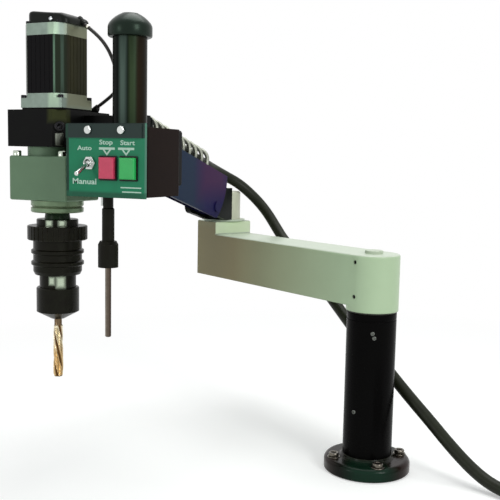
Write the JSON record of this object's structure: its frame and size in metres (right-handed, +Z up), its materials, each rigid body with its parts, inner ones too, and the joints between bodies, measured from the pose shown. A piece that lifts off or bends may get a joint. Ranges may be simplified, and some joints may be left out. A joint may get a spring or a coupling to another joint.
{
  "type": "arm tapping machine",
  "caption": "Bench tapping machine: swing arm on a bolted column, sprung parallelogram arm, motor head with quick change chuck, control box, grip and depth rod.",
  "frame": {"origin": "centre of the base flange's underside, on the column's axis", "axes": "+Z up along the column, the control panel faces -Y, +X to the panel's right"},
  "size_m": [0.7773, 0.4486, 0.5449],
  "materials": {
    "black_paint": "satin black powder coat",
    "cast_paint": "semi gloss pale grey green paint on cast iron",
    "navy_paint": "satin navy powder coat on steel plate",
    "gearbox_paint": "grey green paint on an aluminium casting",
    "black_anodised": "black anodised, milled",
    "motor_alloy": "die cast, bare satin",
    "motor_black": "black painted aluminium extrusion",
    "steel": "turned and ground",
    "dark_steel": "blackened",
    "blackened_steel": "black oxide, turned, lightly oiled",
    "spring_zinc": "zinc plated wire",
    "bronze": "turned bronze",
    "chrome": "polished plating",
    "tap_gold": "gold coloured coating on ground tool steel",
    "cable_rubber": "smooth black sheath",
    "thin_cable": "smooth black sheath",
    "grip_rubber": "smooth black grip",
    "black_plastic": "moulded",
    "panel_label": "green printed overlay on an aluminium plate",
    "red_key": "moulded, translucent",
    "green_key": "moulded, translucent"
  },
  "bodies": {
    "base": {"base_flange": "black_paint", "column": "black_paint", "column_screws": "steel", "king_pin": "steel", "thrust_washer": "bronze", "supply_cable": "cable_rubber", "supply_coil": "cable_rubber", "supply_plug": "black_plastic"},
    "swing_arm": {"arm_casting": "cast_paint", "arm_screws": "dark_steel", "hub_bush": "bronze", "hub_cap": "black_plastic", "elbow_bush": "bronze", "cable_clamp": "dark_steel", "elbow_cable": "cable_rubber", "hub_cable": "cable_rubber"},
    "yoke": {"elbow_pin": "steel", "elbow_thrust_ring": "dark_steel", "elbow_post": "cast_paint", "yoke_ears": "black_paint", "rear_pivot_pins": "dark_steel", "post_cable": "cable_rubber"},
    "lift_arm": {"arm_plate_left": "navy_paint", "arm_plate_right": "navy_paint", "arm_webs": "black_paint", "balance_spring": "spring_zinc", "front_bracket": "black_paint", "arm_cable": "cable_rubber"},
    "link": {"link_rod": "steel"},
    "head": {"carrier_bracket": "black_paint", "front_pivot_pins": "dark_steel", "head_block": "black_anodised", "head_screws": "dark_steel", "gearbox_neck": "gearbox_paint", "gearbox": "gearbox_paint", "motor_flange": "motor_alloy", "motor_body": "motor_black", "motor_end_flange": "motor_alloy", "encoder_cap": "motor_black", "motor_cable": "thin_cable", "block_gland": "black_plastic", "bearing_cap": "gearbox_paint", "control_box": "black_paint", "control_panel": "panel_label", "panel_screws": "steel", "toggle_nut": "chrome", "handle_tube": "grip_rubber", "handle_cap": "black_plastic", "rod_guide": "black_paint", "rod_collar": "dark_steel"},
    "spindle": {"spindle_shaft": "steel", "chuck_rings": "blackened_steel", "chuck_body": "blackened_steel", "tap": "tap_gold"},
    "collar": {"release_collar": "blackened_steel"},
    "stop_key": {"stop_button": "red_key"},
    "start_key": {"start_button": "green_key"},
    "toggle": {"toggle_lever": "chrome"},
    "stroke_rod": {"depth_rod": "steel"}
  },
  "joints": [
    {"name": "column_swing", "type": "hinge", "parent": "base", "child": "swing_arm", "pos_m": [0, 0, 0.2661], "axis": [0, 0, 1], "range_deg": [-60, 60]},
    {"name": "elbow_swing", "type": "hinge", "parent": "swing_arm", "child": "yoke", "pos_m": [-0.27404, 0.14059, 0.287], "axis": [0, 0, 1], "range_deg": [-105, 45]},
    {"name": "arm_lift", "type": "hinge", "parent": "yoke", "child": "lift_arm", "pos_m": [-0.27404, 0.0681, 0.3086], "axis": [-1, 0, 0], "range_deg": [-16, 15], "deforming": ["post_cable"]},
    {"name": "link_lift", "type": "hinge", "parent": "yoke", "child": "link", "pos_m": [-0.27404, 0.0681, 0.3326], "axis": [-1, 0, 0], "range_deg": [-17, 16]},
    {"name": "head_level", "type": "hinge", "parent": "lift_arm", "child": "head", "pos_m": [-0.27404, -0.09791, 0.35432], "axis": [-1, 0, 0], "range_deg": [-16, 17]},
    {"name": "spindle_turn", "type": "hinge", "parent": "head", "child": "spindle", "pos_m": [-0.35814, -0.1435, 0.3], "axis": [0, 0, 1], "continuous": true},
    {"name": "collar_slide", "type": "slide", "parent": "spindle", "child": "collar", "axis": [0, 0, 1], "range_m": [0, 0.008], "stiffness_N_per_m": 500, "springref_m": -0.002},
    {"name": "depth_rod_slide", "type": "slide", "parent": "head", "child": "stroke_rod", "axis": [0, 0, 1], "range_m": [0, 0.03]},
    {"name": "stop_press", "type": "slide", "parent": "head", "child": "stop_key", "axis": [0, 1, 0], "range_m": [0, 0.004], "stiffness_N_per_m": 400, "springref_m": -0.001},
    {"name": "start_press", "type": "slide", "parent": "head", "child": "start_key", "axis": [0, 1, 0], "range_m": [0, 0.004], "stiffness_N_per_m": 400, "springref_m": -0.001},
    {"name": "toggle_flip", "type": "hinge", "parent": "head", "child": "toggle", "pos_m": [-0.26714, -0.2045, 0.368], "axis": [-1, 0, 0], "range_deg": [0, 56]}
  ],
  "couplings": [
    {"joint": "link_lift", "follows": "arm_lift", "ratio": 1},
    {"joint": "head_level", "follows": "arm_lift", "ratio": -1}
  ]
}
